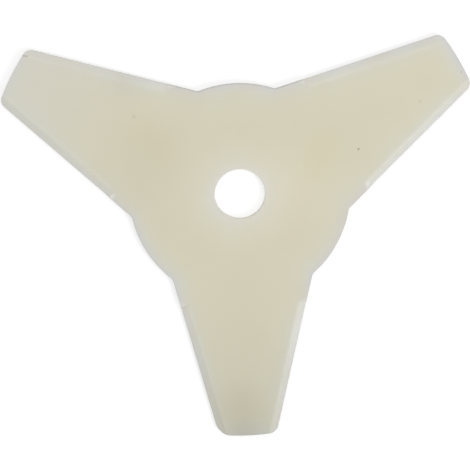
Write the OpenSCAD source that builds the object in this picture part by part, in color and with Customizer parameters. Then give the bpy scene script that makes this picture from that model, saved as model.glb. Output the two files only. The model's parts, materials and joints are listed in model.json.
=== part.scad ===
// Brush cutter blade, moulded in one piece: a round hub with a plain bore, and flat arms that taper to
// rounded tips. Each long edge of an arm is bevelled on both faces down to a narrow land, so that the blade
// can be turned over.
// The origin is at the centre of the bore on the lower face. The faces are square to Z, and +Z is up.

/* [Plate] */
// Thickness of the blade between its two flat faces
thickness = 4; // [3:0.1:6]
// Diameter of the circle that the tips run on
tip_circle_d = 255; // [220:1:305]

/* [Hub] */
// Diameter of the round hub
hub_d = 111; // [96:1:130]
// Diameter of the bore, which fits round the collar of the gearbox flange
bore_d = 25.4; // [20:0.1:30]

/* [Arms] */
// Number of arms, evenly spaced round the hub
arm_count = 3; // [3:1:4]
// Direction of the first arm, in degrees from +X
first_arm_angle = 30; // [0:1:119]
// Width between the two edges of an arm at its tip, before the corners are rounded
tip_w = 29.8; // [22:0.2:36]
// Angle of each edge to the middle line of the arm
edge_angle = 13.7; // [10:0.1:15]
// Radius of the corners at the tips
corner_r = 4.5; // [1:0.5:9]
// Radius of the one corner that is worn rounder than the rest, on the last arm
worn_corner_r = 8.5; // [1:0.5:9]
// Radius of the fillet between the hub and an arm's edge
root_fillet_r = 3; // [0.5:0.5:8]

/* [Bevels] */
// Width of a bevel, measured across the edge on the flat face
bevel_w = 3.6; // [1.4:0.2:6]
// Height of the land left between the upper and the lower bevel
land_t = 1; // [0.4:0.2:2.4]
// Length of plain edge between the hub and the start of the bevels
bevel_gap = 15; // [6:0.5:60]
// Length over which a bevel runs out at its start
bevel_runout = 1.6; // [0.4:0.2:6]

/* [Hidden] */
$fn = 180;

tip_r = tip_circle_d / 2;
hub_r = hub_d / 2;
bevel_depth = (thickness - land_t) / 2;
// How far a cutting shape reaches past the surface that it cuts
over = 1;
// How far a round reaches past the lines that it touches, so that it meets them
meet = 0.002;

// The sizes below are for an arm that points along +X.
// Its upper edge runs along edge_dir, and edge_out is square to that, away from the arm
edge_dir = [cos(edge_angle), -sin(edge_angle)];
edge_out = [sin(edge_angle), cos(edge_angle)];
// Distance of the edge's line from the centre
edge_offset = tip_r * sin(edge_angle) + tip_w / 2 * cos(edge_angle);
// Where the bevels start, measured along the edge from its point nearest to the centre
bevel_start = along_edge(hub_r, edge_offset) + bevel_gap;

// How far along the edge's direction a point lies that is at the radius r, with off as its distance
// from the centre square to the edge
function along_edge(r, off) = sqrt(r * r - off * off);

// Centre of a tip corner of radius r, which touches the edge and the tip circle from inside
function corner_centre(r) = edge_out * (edge_offset - r) + edge_dir * along_edge(tip_r - r, edge_offset - r);

// Centre of a root fillet of radius r, which touches the edge and the hub from outside
function fillet_centre(r) = edge_out * (edge_offset + r) + edge_dir * along_edge(hub_r + r, edge_offset + r);

// The mirror image of a point in the line that lies halfway to the next arm
function across(p) = let(a = 360 / arm_count) [p.x * cos(a) + p.y * sin(a), p.x * sin(a) - p.y * cos(a)];

// Points of a notch along an arm's upper edge, from the centre of the root fillet out past a tip corner
// of radius r
function notch_side(r) = let(root = fillet_centre(root_fillet_r), tip = corner_centre(r)) [
    root,
    root - edge_out * root_fillet_r,
    tip + edge_out * r,
    tip,
    tip * (tip_r + over) / norm(tip)
];

// The notch between an arm, whose tip corner has the radius near_r, and the next, whose corner has the
// radius far_r
module notch_outline(near_r, far_r) {
    near_side = notch_side(near_r);
    far_side = [for (p = notch_side(far_r)) across(p)];
    outside = 2 * tip_r * [cos(180 / arm_count), sin(180 / arm_count)];
    difference() {
        polygon([each near_side, outside, for (i = [len(far_side) - 1 : -1 : 0]) far_side[i], [0, 0]]);
        circle(r = hub_r);
        translate(corner_centre(near_r)) circle(r = near_r + meet);
        translate(across(corner_centre(far_r))) circle(r = far_r + meet);
    }
    for (centre = [near_side[0], far_side[0]]) translate(centre) circle(r = root_fillet_r + meet);
}

// Turns its children to each arm in turn. $arm is the number of the arm, from 0
module on_each_arm() {
    for ($arm = [0 : arm_count - 1]) rotate(first_arm_angle + $arm * 360 / arm_count) children();
}

// A disc with a notch after each arm, and the bore
module blade_outline() {
    difference() {
        circle(r = tip_r);
        on_each_arm() notch_outline(corner_r, $arm == arm_count - 2 ? worn_corner_r : corner_r);
        circle(d = bore_d);
    }
}

// What a bevel takes off the upper face. The edge runs along the X axis here, with the blade on its -Y side
module bevel_cut() {
    slope = bevel_depth / bevel_w;
    runout = bevel_runout / bevel_depth;
    intersection() {
        // The slope across the edge
        rotate([90, 0, 90]) linear_extrude(tip_r) polygon([
            [-bevel_w - over / slope, thickness + over],
            [over, thickness - bevel_depth - over * slope],
            [over, thickness + over]
        ]);
        // The slope along the edge, where the bevel runs out
        translate([0, over, 0]) rotate([90, 0, 0])
            linear_extrude(bevel_w + over / slope + 2 * over) polygon([
                [bevel_start - over * runout, thickness + over],
                [bevel_start + thickness * runout, 0],
                [tip_r, 0],
                [tip_r, thickness + over]
            ]);
    }
}

// The bevels of one arm, on both edges and both faces
module arm_bevels() {
    for (side = [0, 1], face = [0, 1])
        mirror([0, side, 0]) translate([0, 0, face * thickness]) mirror([0, 0, face])
            rotate(-edge_angle) translate([0, edge_offset, 0]) bevel_cut();
}

module blade() {
    color("#d7d5be") difference() {
        linear_extrude(thickness) blade_outline();
        on_each_arm() arm_bevels();
    }
}

blade();
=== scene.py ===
"""Brush cutter blade: one flat moulding in undyed nylon, lying on a pale floor under plain soft light."""
import json
import math

import bpy
from mathutils import Matrix, Vector


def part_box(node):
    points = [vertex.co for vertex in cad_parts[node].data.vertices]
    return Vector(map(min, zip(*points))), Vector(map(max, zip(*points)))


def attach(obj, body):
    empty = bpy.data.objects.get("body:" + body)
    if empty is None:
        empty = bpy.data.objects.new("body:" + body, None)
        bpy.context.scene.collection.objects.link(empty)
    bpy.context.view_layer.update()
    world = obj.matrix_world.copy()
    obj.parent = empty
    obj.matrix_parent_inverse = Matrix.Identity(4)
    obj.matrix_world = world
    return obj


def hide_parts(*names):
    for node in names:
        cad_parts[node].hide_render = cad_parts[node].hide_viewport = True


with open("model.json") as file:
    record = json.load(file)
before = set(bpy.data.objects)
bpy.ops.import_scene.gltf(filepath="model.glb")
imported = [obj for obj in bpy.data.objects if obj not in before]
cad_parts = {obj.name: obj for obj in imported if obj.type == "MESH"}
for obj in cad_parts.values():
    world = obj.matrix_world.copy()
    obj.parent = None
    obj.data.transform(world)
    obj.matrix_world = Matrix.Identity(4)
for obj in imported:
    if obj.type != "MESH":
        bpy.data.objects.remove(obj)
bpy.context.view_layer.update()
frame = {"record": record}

# The camera stands where the photograph was taken from, almost straight above the blade
CAMERA_PLACE = (-0.0231, 0.1323, 0.7294)
CAMERA_TURN = [math.radians(angle) for angle in (-11.848, -1.975, -1.934)]
CAMERA_LENS = 112.5

camera_data = bpy.data.cameras.new("camera")
camera_data.lens = CAMERA_LENS
camera_data.sensor_width = 36
camera_data.clip_start = 0.01
camera = bpy.data.objects.new("camera", camera_data)
camera.location = CAMERA_PLACE
camera.rotation_euler = CAMERA_TURN
bpy.context.collection.objects.link(camera)
bpy.context.scene.camera = camera
bpy.context.scene.view_settings.view_transform = "Standard"

# Sizes are in metres. The origin is at the centre of the bore on the lower face, and +Z is up
MM = 0.001
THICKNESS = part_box("blade")[1].z
TIP_R = 127.5 * MM
HUB_R = 55.5 * MM
BORE_R = frame["record"]["mounts"][0]["dims"]["r_mm"] * MM
ARM_COUNT = 3
# The first arm's direction from +X, an arm's width at its tip, and the angle of its edges to its middle line
FIRST_ARM = math.radians(30)
TIP_W = 29.8 * MM
EDGE_ANGLE = math.radians(13.7)
# The last arm's lower corner, as it lies when the arm points along +X, is worn rounder than the rest
CORNER_R = 4.5 * MM
WORN_CORNER_R = 8.5 * MM
ROOT_FILLET_R = 3 * MM
# The land is what is left of the edge between two bevels. The gap is the plain edge between hub and bevel
BEVEL_W = 3.6 * MM
LAND_T = 1 * MM
BEVEL_GAP = 15 * MM
BEVEL_RUNOUT = 1.6 * MM
# Radii that the mould leaves on every sharp edge, and on the shoulder between a bevel and the flat face
EDGE_ROUND = 0.25 * MM
SHOULDER_R = 4.2 * MM

ARM_PITCH = 2 * math.pi / ARM_COUNT
BEVEL_DEPTH = (THICKNESS - LAND_T) / 2
# Distance of an arm's edge line from the bore's axis, and how far along that line the bevels start
EDGE_OFFSET = TIP_R * math.sin(EDGE_ANGLE) + TIP_W / 2 * math.cos(EDGE_ANGLE)
BEVEL_START = math.sqrt(HUB_R ** 2 - EDGE_OFFSET ** 2) + BEVEL_GAP
# Directions along the upper edge of an arm that points along +X, and away from the arm
EDGE_DIR = Vector((math.cos(EDGE_ANGLE), -math.sin(EDGE_ANGLE), 0))
EDGE_OUT = Vector((math.sin(EDGE_ANGLE), math.cos(EDGE_ANGLE), 0))

# Steps of the arcs, small enough to look round: corners and fillets, hub and bore, and the tip circle
SMALL_STEP = math.radians(5)
HUB_STEP = math.radians(1)
TIP_STEP = math.radians(0.5)
# Edges that turn by more than this are sharp
SHARP = math.radians(50)
# The floor's side, and the gap that keeps its face apart from the blade's
FLOOR_SIZE = 12
FLOOR_GAP = 0.02 * MM
# How far a cutter reaches past the surface that it cuts, and how near to a plane a point counts as on it
OVER = 1 * MM
ON_PLANE = 0.001 * MM


def activate(piece):
    """Leaves this one object selected and active."""
    bpy.ops.object.select_all(action="DESELECT")
    piece.select_set(True)
    bpy.context.view_layer.objects.active = piece


def finish_modifiers(piece):
    """Applies the piece's modifiers in their order."""
    activate(piece)
    for modifier in list(piece.modifiers):
        bpy.ops.object.modifier_apply(modifier=modifier.name)


def turned(point, angle):
    """The point turned round the bore's axis."""
    return Matrix.Rotation(angle, 3, "Z") @ point


def mirrored(point):
    """The point on the other side of an arm that points along +X."""
    return Vector((point.x, -point.y, point.z))


def direction(vector):
    """The angle of a vector from +X."""
    return math.atan2(vector.y, vector.x)


def corner_centre(radius):
    """Centre of a tip corner that touches the arm's upper edge and the tip circle from inside."""
    off = EDGE_OFFSET - radius
    return EDGE_OUT * off + EDGE_DIR * math.sqrt((TIP_R - radius) ** 2 - off ** 2)


def fillet_centre():
    """Centre of the root fillet that touches the arm's upper edge and the hub from outside."""
    off = EDGE_OFFSET + ROOT_FILLET_R
    return EDGE_OUT * off + EDGE_DIR * math.sqrt((HUB_R + ROOT_FILLET_R) ** 2 - off ** 2)


def start_drawing(name, point):
    """A new mesh that holds one vertex, left in edit mode."""
    bpy.ops.object.select_all(action="DESELECT")
    bpy.ops.mesh.primitive_plane_add(size=MM, location=point)
    bpy.context.object.name = name
    bpy.ops.object.transform_apply()
    bpy.ops.object.mode_set(mode="EDIT")
    bpy.ops.mesh.merge(type="CENTER")


def draw_arc(centre, sweep, step, axis=(0, 0, 1)):
    """Carries the drawing on from its last vertex along an arc. A positive sweep turns anticlockwise."""
    steps = max(1, round(abs(sweep) / step))
    bpy.ops.mesh.spin(steps=steps, angle=-sweep, center=centre, axis=axis)


def draw_line(start, end):
    """Carries the drawing on from its last vertex along a straight edge."""
    bpy.ops.mesh.extrude_region_move(TRANSFORM_OT_translate={"value": end - start})


def draw_arm(heading, lower_corner_r, upper_corner_r):
    """Draws one arm's outline, from the middle of the gap before it to the middle of the gap after it. Lower
    and upper are as on an arm that points along +X."""
    root = fillet_centre()
    lower_tip = corner_centre(lower_corner_r)
    upper_tip = corner_centre(upper_corner_r)
    root_end = root - EDGE_OUT * ROOT_FILLET_R
    lower_end = lower_tip + EDGE_OUT * lower_corner_r
    upper_end = upper_tip + EDGE_OUT * upper_corner_r
    edge_heading = direction(EDGE_OUT)
    root_turn = edge_heading - direction(root)
    hub_turn = ARM_PITCH / 2 - direction(root)
    draw_arc((0, 0, 0), hub_turn, HUB_STEP)
    draw_arc(turned(mirrored(root), heading), -root_turn, SMALL_STEP)
    draw_line(turned(mirrored(root_end), heading), turned(mirrored(lower_end), heading))
    draw_arc(turned(mirrored(lower_tip), heading), edge_heading - direction(lower_tip), SMALL_STEP)
    draw_arc((0, 0, 0), direction(lower_tip) + direction(upper_tip), TIP_STEP)
    draw_arc(turned(upper_tip, heading), edge_heading - direction(upper_tip), SMALL_STEP)
    draw_line(turned(upper_end, heading), turned(root_end, heading))
    draw_arc(turned(root, heading), -root_turn, SMALL_STEP)
    draw_arc((0, 0, 0), hub_turn, HUB_STEP)


def make_plate():
    """The blade's outline as a plate of full thickness, without its bore or bevels."""
    start_drawing("nylon_blade", turned(Vector((HUB_R, 0, 0)), FIRST_ARM - ARM_PITCH / 2))
    for arm in range(ARM_COUNT):
        worn = arm == ARM_COUNT - 1
        draw_arm(FIRST_ARM + arm * ARM_PITCH, WORN_CORNER_R if worn else CORNER_R, CORNER_R)
    bpy.ops.mesh.select_all(action="SELECT")
    # The drawing ends where it started
    bpy.ops.mesh.remove_doubles(threshold=0.01 * MM)
    bpy.ops.mesh.edge_face_add()
    bpy.ops.mesh.extrude_region_move(TRANSFORM_OT_translate={"value": (0, 0, THICKNESS)})
    bpy.ops.mesh.select_all(action="SELECT")
    bpy.ops.mesh.normals_make_consistent(inside=False)
    bpy.ops.object.mode_set(mode="OBJECT")
    return bpy.context.object


def make_bore_cutter():
    """A cylinder that reaches past both faces."""
    sides = round(2 * math.pi / HUB_STEP)
    depth = THICKNESS + 2 * OVER
    middle = (0, 0, THICKNESS / 2)
    bpy.ops.object.select_all(action="DESELECT")
    bpy.ops.mesh.primitive_cylinder_add(vertices=sides, radius=BORE_R, depth=depth, location=middle)
    return bpy.context.object


def draw_bevel_section():
    """The section of what a bevel takes off, with the soft shoulder that it leaves. The edge runs along X."""
    lean = math.atan2(BEVEL_DEPTH, BEVEL_W)
    tangent = SHOULDER_R * math.tan(lean / 2)
    start = Vector((BEVEL_START - OVER, EDGE_OFFSET - BEVEL_W - tangent, THICKNESS))
    slope = Vector((0, BEVEL_W, -BEVEL_DEPTH)).normalized()
    shoulder_end = start + Vector((0, tangent, 0)) + slope * tangent
    outside = EDGE_OFFSET + OVER / 2
    low = shoulder_end + slope * (outside - shoulder_end.y) / slope.y
    high = Vector((start.x, outside, THICKNESS + OVER))
    back = Vector((start.x, start.y, THICKNESS + OVER))
    start_drawing("bevel_cutters", start)
    draw_arc(start - Vector((0, 0, SHOULDER_R)), -lean, lean / 6, axis=(1, 0, 0))
    draw_line(shoulder_end, low)
    draw_line(low, high)
    draw_line(high, back)
    bpy.ops.mesh.select_all(action="SELECT")
    bpy.ops.mesh.edge_face_add()


def make_first_bevel_cutter():
    """The cutter for one bevel of an arm that points along +X, cut off where the bevel runs out."""
    draw_bevel_section()
    cutter = bpy.context.object
    bpy.ops.mesh.extrude_region_move(TRANSFORM_OT_translate={"value": (TIP_R + 2 * OVER - BEVEL_START, 0, 0)})
    bpy.ops.mesh.select_all(action="SELECT")
    bpy.ops.mesh.normals_make_consistent(inside=False)
    start = (BEVEL_START, 0, THICKNESS)
    # The direction square to the run-out's slope
    square = Vector((BEVEL_DEPTH, 0, BEVEL_RUNOUT)).normalized()
    bpy.ops.mesh.bisect(plane_co=start, plane_no=square, use_fill=True, clear_inner=True, threshold=ON_PLANE)
    bpy.ops.object.mode_set(mode="OBJECT")
    cutter.rotation_euler.z = -EDGE_ANGLE
    bpy.ops.object.transform_apply(location=False, scale=False)
    return cutter


def add_mirror_image(flip, centre):
    """Adds the mirror image of all that the mesh holds."""
    bpy.ops.mesh.select_all(action="SELECT")
    bpy.ops.mesh.duplicate()
    bpy.ops.transform.resize(value=flip, center_override=centre)


def make_bevel_cutters():
    """Cutters for all the bevels: both edges and both faces of one arm, turned to each arm."""
    pattern = make_first_bevel_cutter()
    bpy.ops.object.mode_set(mode="EDIT")
    add_mirror_image((1, -1, 1), (0, 0, 0))
    add_mirror_image((1, 1, -1), (0, 0, THICKNESS / 2))
    bpy.ops.mesh.select_all(action="SELECT")
    bpy.ops.mesh.normals_make_consistent(inside=False)
    bpy.ops.object.mode_set(mode="OBJECT")
    copies = []
    for arm in range(ARM_COUNT):
        activate(pattern)
        bpy.ops.object.duplicate()
        copy = bpy.context.object
        copy.rotation_euler.z = FIRST_ARM + arm * ARM_PITCH
        bpy.ops.object.transform_apply()
        copies.append(copy)
    bpy.data.objects.remove(pattern)
    activate(copies[0])
    for copy in copies:
        copy.select_set(True)
    bpy.ops.object.join()
    return bpy.context.object


def cut(piece, cutter):
    """Takes the cutter's shape out of the piece, and the cutter out of the scene."""
    boolean = piece.modifiers.new("cut", "BOOLEAN")
    boolean.operation = "DIFFERENCE"
    boolean.solver = "EXACT"
    boolean.object = cutter
    finish_modifiers(piece)
    bpy.data.objects.remove(cutter)


def soften_edges(piece):
    """Rounds the sharp edges as the mould leaves them, and keeps the flat faces flat to the light."""
    activate(piece)
    bpy.ops.object.mode_set(mode="EDIT")
    bpy.ops.mesh.select_all(action="SELECT")
    # Clears the slivers and the split flat faces that the cuts leave
    bpy.ops.mesh.remove_doubles(threshold=0.1 * MM)
    bpy.ops.mesh.dissolve_limited(angle_limit=math.radians(0.1))
    bpy.ops.object.mode_set(mode="OBJECT")
    rounding = piece.modifiers.new("edge rounding", "BEVEL")
    rounding.width = EDGE_ROUND
    rounding.segments = 3
    rounding.limit_method = "ANGLE"
    rounding.angle_limit = SHARP
    rounding.use_clamp_overlap = False
    finish_modifiers(piece)
    bpy.ops.object.shade_smooth()
    weighting = piece.modifiers.new("flat faces", "WEIGHTED_NORMAL")
    weighting.weight = 100
    finish_modifiers(piece)


def linear(hex_colour):
    """An sRGB hex colour as linear red, green, blue and a full alpha."""
    channels = [int(hex_colour[i:i + 2], 16) / 255 for i in (1, 3, 5)]
    return [c / 12.92 if c <= 0.04045 else ((c + 0.055) / 1.055) ** 2.4 for c in channels] + [1]


def add_node(tree, kind, inputs, **settings):
    """Adds a node with its settings. An input is a value, a socket, or a node for its first output."""
    node = tree.nodes.new(kind)
    for name, value in settings.items():
        setattr(node, name, value)
    for key, value in inputs.items():
        if isinstance(value, bpy.types.Node):
            value = value.outputs[0]
        if isinstance(value, bpy.types.NodeSocket):
            tree.links.new(value, node.inputs[key])
        else:
            node.inputs[key].default_value = value
    return node


# Tones of the nylon by the distance in mm from its nearest edge. Its own cream is in the depth
# Near the edges it is painted light that gets through them, paler and greyer, and darkest at the very rim
NYLON_AND_EDGE_LIGHT_TONES = (
    (0, "#C6C6C5"), (0.8, "#CFCFCC"), (3, "#D3D2C6"), (6, "#D4D2C0"), (12, "#D5D1BA"), (30, "#D4CFB7"),
)

# Sizes in mm of the clouds that the flow of the melt leaves, and of the grain of the mould's eroded face
CLOUD_SIZE = 20
GRAIN_SIZE = 0.4

# Marks on the nylon, and two painted glints: the middle and the reach in mm, the tint, and how much of it
# shows at the middle
MARKS_AND_PAINTED_GLINTS = {
    "grey of the lower half": ((-1, -135, 4), 95, "#AFAF9F", 0.32),
    # The lower tip is darker and greyer towards its end
    "darker green-grey on the lower tip": ((-1, -130, 4), 24, "#A3A595", 0.3),
    "brown soil on the lower arm": ((-3, -111, 4), 20, "#B3A993", 0.25),
    "darker brown-grey at the end of the lower tip": ((-3, -127, 4), 12, "#A39F8C", 0.15),
    "grey along the left arm's upper edge": ((-55, 60, 3.5), 18, "#C6C4B8", 0.3),
    "pale right side of the hub": ((28, 4, 4), 34, "#E3DCC6", 0.25),
    "dull left side of the hub": ((-52, 12, 4), 26, "#BFBDA6", 0.15),
    "pale middle round the bore": ((0, 0, 2), 36, "#E6E2CF", 0.4),
    "pale outer half of the left arm": ((-98, 56, 4), 55, "#D6D5CC", 0.5),
    "yellowed root of the left arm": ((-41, 27, 4), 20, "#CDC09E", 0.2),
    "yellowed root of the right arm": ((41, 17, 4), 20, "#D3CA9C", 0.22),
    "brown speck on the right arm": ((60.0, 20.6, 4), 1.0, "#7A6E55", 0.65),
    "outer dark speck at the left tip": ((-103.6, 73.1, 4), 0.9, "#77746B", 0.6),
    "inner dark speck at the left tip": ((-102.4, 72.9, 4), 0.9, "#77746B", 0.5),
    "faint dot at the right tip": ((111.8, 57.2, 4), 1.0, "#A5A294", 0.35),
    "faint dot on the right arm": ((91.2, 43.3, 4), 1.2, "#A5A294", 0.3),
    "faint dot on the left arm": ((-51.4, 41.3, 4), 1.3, "#A5A294", 0.35),
    # Painted glints: highlights painted where the run-outs of two lower bevels start
    "painted glint where the right arm's lower bevel starts": ((64.4, 2.6, 3.5), 1.9, "#F2F2EE", 0.5),
    "painted glint where the left arm's lower bevel starts": ((-63.9, 2.0, 3.5), 1.9, "#F2F2EE", 0.45),
}


def measure_place(tree, place):
    """A point's distance from the bore's axis, how far it lies inside the nearest arm's edge line, and how
    far from the nearest edge of all. These and place are in mm."""
    parts = add_node(tree, "ShaderNodeSeparateXYZ", {0: place})
    across, up = parts.outputs["X"], parts.outputs["Y"]
    flat = add_node(tree, "ShaderNodeCombineXYZ", {"X": across, "Y": up})
    radius = add_node(tree, "ShaderNodeVectorMath", {0: flat}, operation="LENGTH").outputs["Value"]
    bearing = add_node(tree, "ShaderNodeMath", {0: up, 1: across}, operation="ARCTAN2")
    from_first = add_node(tree, "ShaderNodeMath", {0: bearing, 1: FIRST_ARM}, operation="SUBTRACT")
    # The angle to the nearest arm's middle line
    folded = add_node(tree, "ShaderNodeMath", {0: from_first, 1: ARM_PITCH / 2}, operation="PINGPONG")
    leaning = add_node(tree, "ShaderNodeMath", {0: folded, 1: EDGE_ANGLE}, operation="ADD")
    sine = add_node(tree, "ShaderNodeMath", {0: leaning}, operation="SINE")
    reach = add_node(tree, "ShaderNodeMath", {0: radius, 1: sine}, operation="MULTIPLY")
    to_edge = add_node(tree, "ShaderNodeMath", {0: EDGE_OFFSET / MM, 1: reach}, operation="SUBTRACT")
    to_tip = add_node(tree, "ShaderNodeMath", {0: TIP_R / MM, 1: radius}, operation="SUBTRACT")
    to_rim = add_node(tree, "ShaderNodeMath", {0: HUB_R / MM, 1: radius}, operation="SUBTRACT")
    to_bore = add_node(tree, "ShaderNodeMath", {0: radius, 1: BORE_R / MM}, operation="SUBTRACT")
    in_arm = add_node(tree, "ShaderNodeMath", {0: to_edge, 1: to_tip}, operation="MINIMUM")
    in_blade = add_node(tree, "ShaderNodeMath", {0: in_arm, 1: to_rim}, operation="MAXIMUM")
    margin = add_node(tree, "ShaderNodeMath", {0: in_blade, 1: to_bore}, operation="MINIMUM")
    return radius, to_edge, margin


def nylon_and_edge_light_tone(tree, margin):
    """The nylon's own tone, with painted light that gets through near the edges, by the distance from the
    nearest edge.
    """
    depth = NYLON_AND_EDGE_LIGHT_TONES[-1][0]
    share = add_node(tree, "ShaderNodeMath", {0: margin, 1: depth}, operation="DIVIDE")
    ramp = add_node(tree, "ShaderNodeValToRGB", {0: share})
    stops = ramp.color_ramp.elements
    for reach, tone in NYLON_AND_EDGE_LIGHT_TONES[1:-1]:
        stops.new(reach / depth)
    for stop, (reach, tone) in zip(stops, NYLON_AND_EDGE_LIGHT_TONES):
        stop.color = linear(tone)
    return ramp


def bevel_glow(tree, radius, to_edge):
    """How much light comes through the thin wedges of the bevels, which is most near their start."""
    start = math.hypot(BEVEL_START, EDGE_OFFSET) / MM
    # The glow fades out across the shoulder and just before the start
    on_bevel = add_node(
        tree, "ShaderNodeMapRange", {"Value": to_edge, "From Min": BEVEL_W / MM + 2.5, "From Max": 2.0},
        interpolation_type="SMOOTHSTEP",
    )
    past_start = add_node(
        tree, "ShaderNodeMapRange", {"Value": radius, "From Min": start - 3, "From Max": start - 1},
        interpolation_type="SMOOTHSTEP",
    )
    strength = add_node(
        tree, "ShaderNodeMapRange",
        {"Value": radius, "From Min": start, "From Max": 0.9 * TIP_R / MM, "To Min": 0.38, "To Max": 0.24},
    )
    wedge = add_node(tree, "ShaderNodeMath", {0: on_bevel, 1: past_start}, operation="MULTIPLY")
    return add_node(tree, "ShaderNodeMath", {0: wedge, 1: strength}, operation="MULTIPLY")


def lay_tint(tree, colour, tint, distance, far, near, share):
    """The colour with a tint laid over it: none of it at the far distance, its whole share at the near."""
    fade = add_node(
        tree, "ShaderNodeMapRange",
        {"Value": distance, "From Min": far, "From Max": near, "To Min": 0.0, "To Max": share},
        interpolation_type="SMOOTHSTEP",
    )
    mixed = add_node(tree, "ShaderNodeMix", {"Factor": fade, 6: colour, 7: linear(tint)}, data_type="RGBA")
    return mixed.outputs[2]


def nylon_colour(tree, place, clouds):
    """The nylon's colour with its marks, and with painted light through its edges, bevels and bore, and
    painted glints. place is in mm.
    """
    radius, to_edge, margin = measure_place(tree, place)
    glow = bevel_glow(tree, radius, to_edge)
    # Painted light through the edges, with the painted glow of the bevels' thin wedges laid over it
    layers = {"Factor": glow, 6: nylon_and_edge_light_tone(tree, margin), 7: linear("#E6E6E0")}
    glowing = add_node(tree, "ShaderNodeMix", layers, data_type="RGBA")
    # Light comes through the bore's wall too, and lights the rim
    bore_r = BORE_R / MM
    colour = lay_tint(tree, glowing.outputs[2], "#E8E6DA", radius, bore_r + 5, bore_r, 0.2)
    colour = lay_tint(tree, colour, "#F6F5EE", radius, bore_r + 0.25, bore_r, 0.7)
    # The clouds are a shade warmer
    cloud = add_node(
        tree, "ShaderNodeMapRange",
        {"Value": clouds, "From Min": 0.35, "From Max": 0.7, "To Min": 0.0, "To Max": 0.35},
    )
    layers = {"Factor": cloud, 6: colour, 7: linear("#D6CDB4")}
    clouded = add_node(tree, "ShaderNodeMix", layers, data_type="RGBA")
    colour = clouded.outputs[2]
    for name, (middle, reach, tint, share) in MARKS_AND_PAINTED_GLINTS.items():
        away = add_node(tree, "ShaderNodeVectorMath", {0: place, 1: middle}, operation="DISTANCE", label=name)
        colour = lay_tint(tree, colour, tint, away.outputs["Value"], reach, 0.0, share)
    return colour


def add_skin(tree, shader, place, clouds):
    """The satin skin: duller in the clouds, with the fine grain of the mould, which breaks up the shine."""
    sheen = add_node(
        tree, "ShaderNodeMapRange",
        {"Value": clouds, "From Min": 0.3, "From Max": 0.7, "To Min": 0.42, "To Max": 0.5},
    )
    tree.links.new(sheen.outputs[0], shader.inputs["Roughness"])
    grain = add_node(tree, "ShaderNodeTexNoise", {"Vector": place, "Scale": 1 / GRAIN_SIZE, "Detail": 3.0})
    relief = add_node(tree, "ShaderNodeBump", {"Height": grain, "Strength": 0.15, "Distance": 0.02 * MM})
    tree.links.new(relief.outputs[0], shader.inputs["Normal"])


def undyed_nylon():
    """Nylon 6 without dye, injection moulded: a dull cream in its depth, where light is lost in it, paler and
    greyer in the few millimetres along every edge, where light gets through, under a satin moulded skin."""
    material = bpy.data.materials.new("undyed_moulded_nylon")
    material.use_nodes = True
    tree = material.node_tree
    shader = tree.nodes["Principled BSDF"]
    in_metres = add_node(tree, "ShaderNodeTexCoord", {}).outputs["Object"]
    place = add_node(tree, "ShaderNodeVectorMath", {0: in_metres, "Scale": 1 / MM}, operation="SCALE")
    cloud_look = {"Vector": place, "Scale": 1 / CLOUD_SIZE, "Detail": 2.0, "Roughness": 0.5}
    clouds = add_node(tree, "ShaderNodeTexNoise", cloud_look)
    tree.links.new(nylon_colour(tree, place, clouds), shader.inputs["Base Color"])
    add_skin(tree, shader, place, clouds)
    shader.inputs["IOR"].default_value = 1.53
    shader.inputs["Subsurface Weight"].default_value = 0.25
    shader.inputs["Subsurface Radius"].default_value = (1.0, 0.9, 0.6)
    shader.inputs["Subsurface Scale"].default_value = 2 * MM
    return material


def seen_rays(tree):
    """1 for the rays by which the camera, a reflection or clear glass sees things, and 0 for the rest."""
    path = add_node(tree, "ShaderNodeLightPath", {})
    seen = path.outputs["Is Camera Ray"]
    for ray in ("Is Glossy Ray", "Is Transmission Ray"):
        seen = add_node(tree, "ShaderNodeMath", {0: seen, 1: path.outputs[ray]}, operation="MAXIMUM")
    return seen


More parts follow.
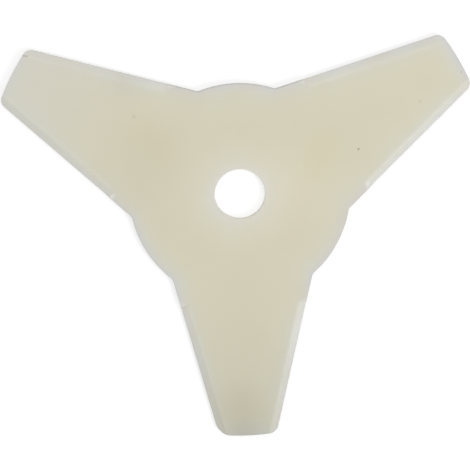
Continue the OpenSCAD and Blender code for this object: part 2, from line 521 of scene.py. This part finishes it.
def pale_floor():
    """Matt white board. Camera and reflections see it as white, with the blade's soft shadow on it."""
    material = bpy.data.materials.new("matt_white_board")
    material.use_nodes = True
    tree = material.node_tree
    output = tree.nodes["Material Output"]
    tree.nodes.remove(tree.nodes["Principled BSDF"])
    # The plain board throws light up at the blade. The one that is seen takes the shadow and is lifted
    plain = add_node(tree, "ShaderNodeBsdfDiffuse", {"Color": linear("#E6E6E4")})
    shaded = add_node(tree, "ShaderNodeBsdfDiffuse", {"Color": linear("#C6C6C6")})
    # The lamps light the middle of the board more than its far parts, so it needs less lift there
    centre = add_node(tree, "ShaderNodeTexCoord", {})
    away = add_node(tree, "ShaderNodeVectorMath", {0: centre.outputs["Object"]}, operation="LENGTH")
    level = add_node(
        tree, "ShaderNodeMapRange",
        {"Value": away.outputs["Value"], "From Min": 0.1, "From Max": 1.2, "To Min": 0.51, "To Max": 0.73},
    )
    lift = add_node(tree, "ShaderNodeEmission", {"Strength": level})
    white = add_node(tree, "ShaderNodeAddShader", {0: shaded, 1: lift})
    both = add_node(tree, "ShaderNodeMixShader", {0: seen_rays(tree), 1: plain, 2: white})
    tree.links.new(both.outputs[0], output.inputs["Surface"])
    return material


def make_floor():
    """The board that the blade lies on."""
    bpy.ops.object.select_all(action="DESELECT")
    bpy.ops.mesh.primitive_plane_add(size=FLOOR_SIZE, location=(0, 0, -FLOOR_GAP))
    floor = bpy.context.object
    floor.name = "floor"
    floor.data.materials.append(pale_floor())


def make_world():
    """An even sky that fills the shadows. The camera and the reflections see it as white."""
    world = bpy.data.worlds.new("studio")
    bpy.context.scene.world = world
    world.use_nodes = True
    tree = world.node_tree
    background = tree.nodes["Background"]
    background.inputs["Color"].default_value = linear("#FFFFFF")
    level = add_node(tree, "ShaderNodeMapRange", {"Value": seen_rays(tree), "To Min": 0.55, "To Max": 1.0})
    tree.links.new(level.outputs[0], background.inputs["Strength"])


def add_softbox(name, place, size, power):
    """A square softbox that faces the bore."""
    lamp = bpy.data.lights.new(name, "AREA")
    lamp.size = size
    lamp.energy = power
    softbox = bpy.data.objects.new(name, lamp)
    softbox.location = place
    softbox.rotation_euler = Vector(place).to_track_quat("Z", "Y").to_euler()
    bpy.context.collection.objects.link(softbox)


blade = make_plate()
cut(blade, make_bore_cutter())
cut(blade, make_bevel_cutters())
soften_edges(blade)
blade.data.materials.clear()
blade.data.materials.append(undyed_nylon())
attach(blade, "root")
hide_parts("blade")

make_floor()
make_world()
add_softbox("overhead_softbox", place=(0.0, 0.3, 0.9), size=1.0, power=2.95)
add_softbox("side_softbox", place=(0.75, -0.5, 0.95), size=0.4, power=4.0)
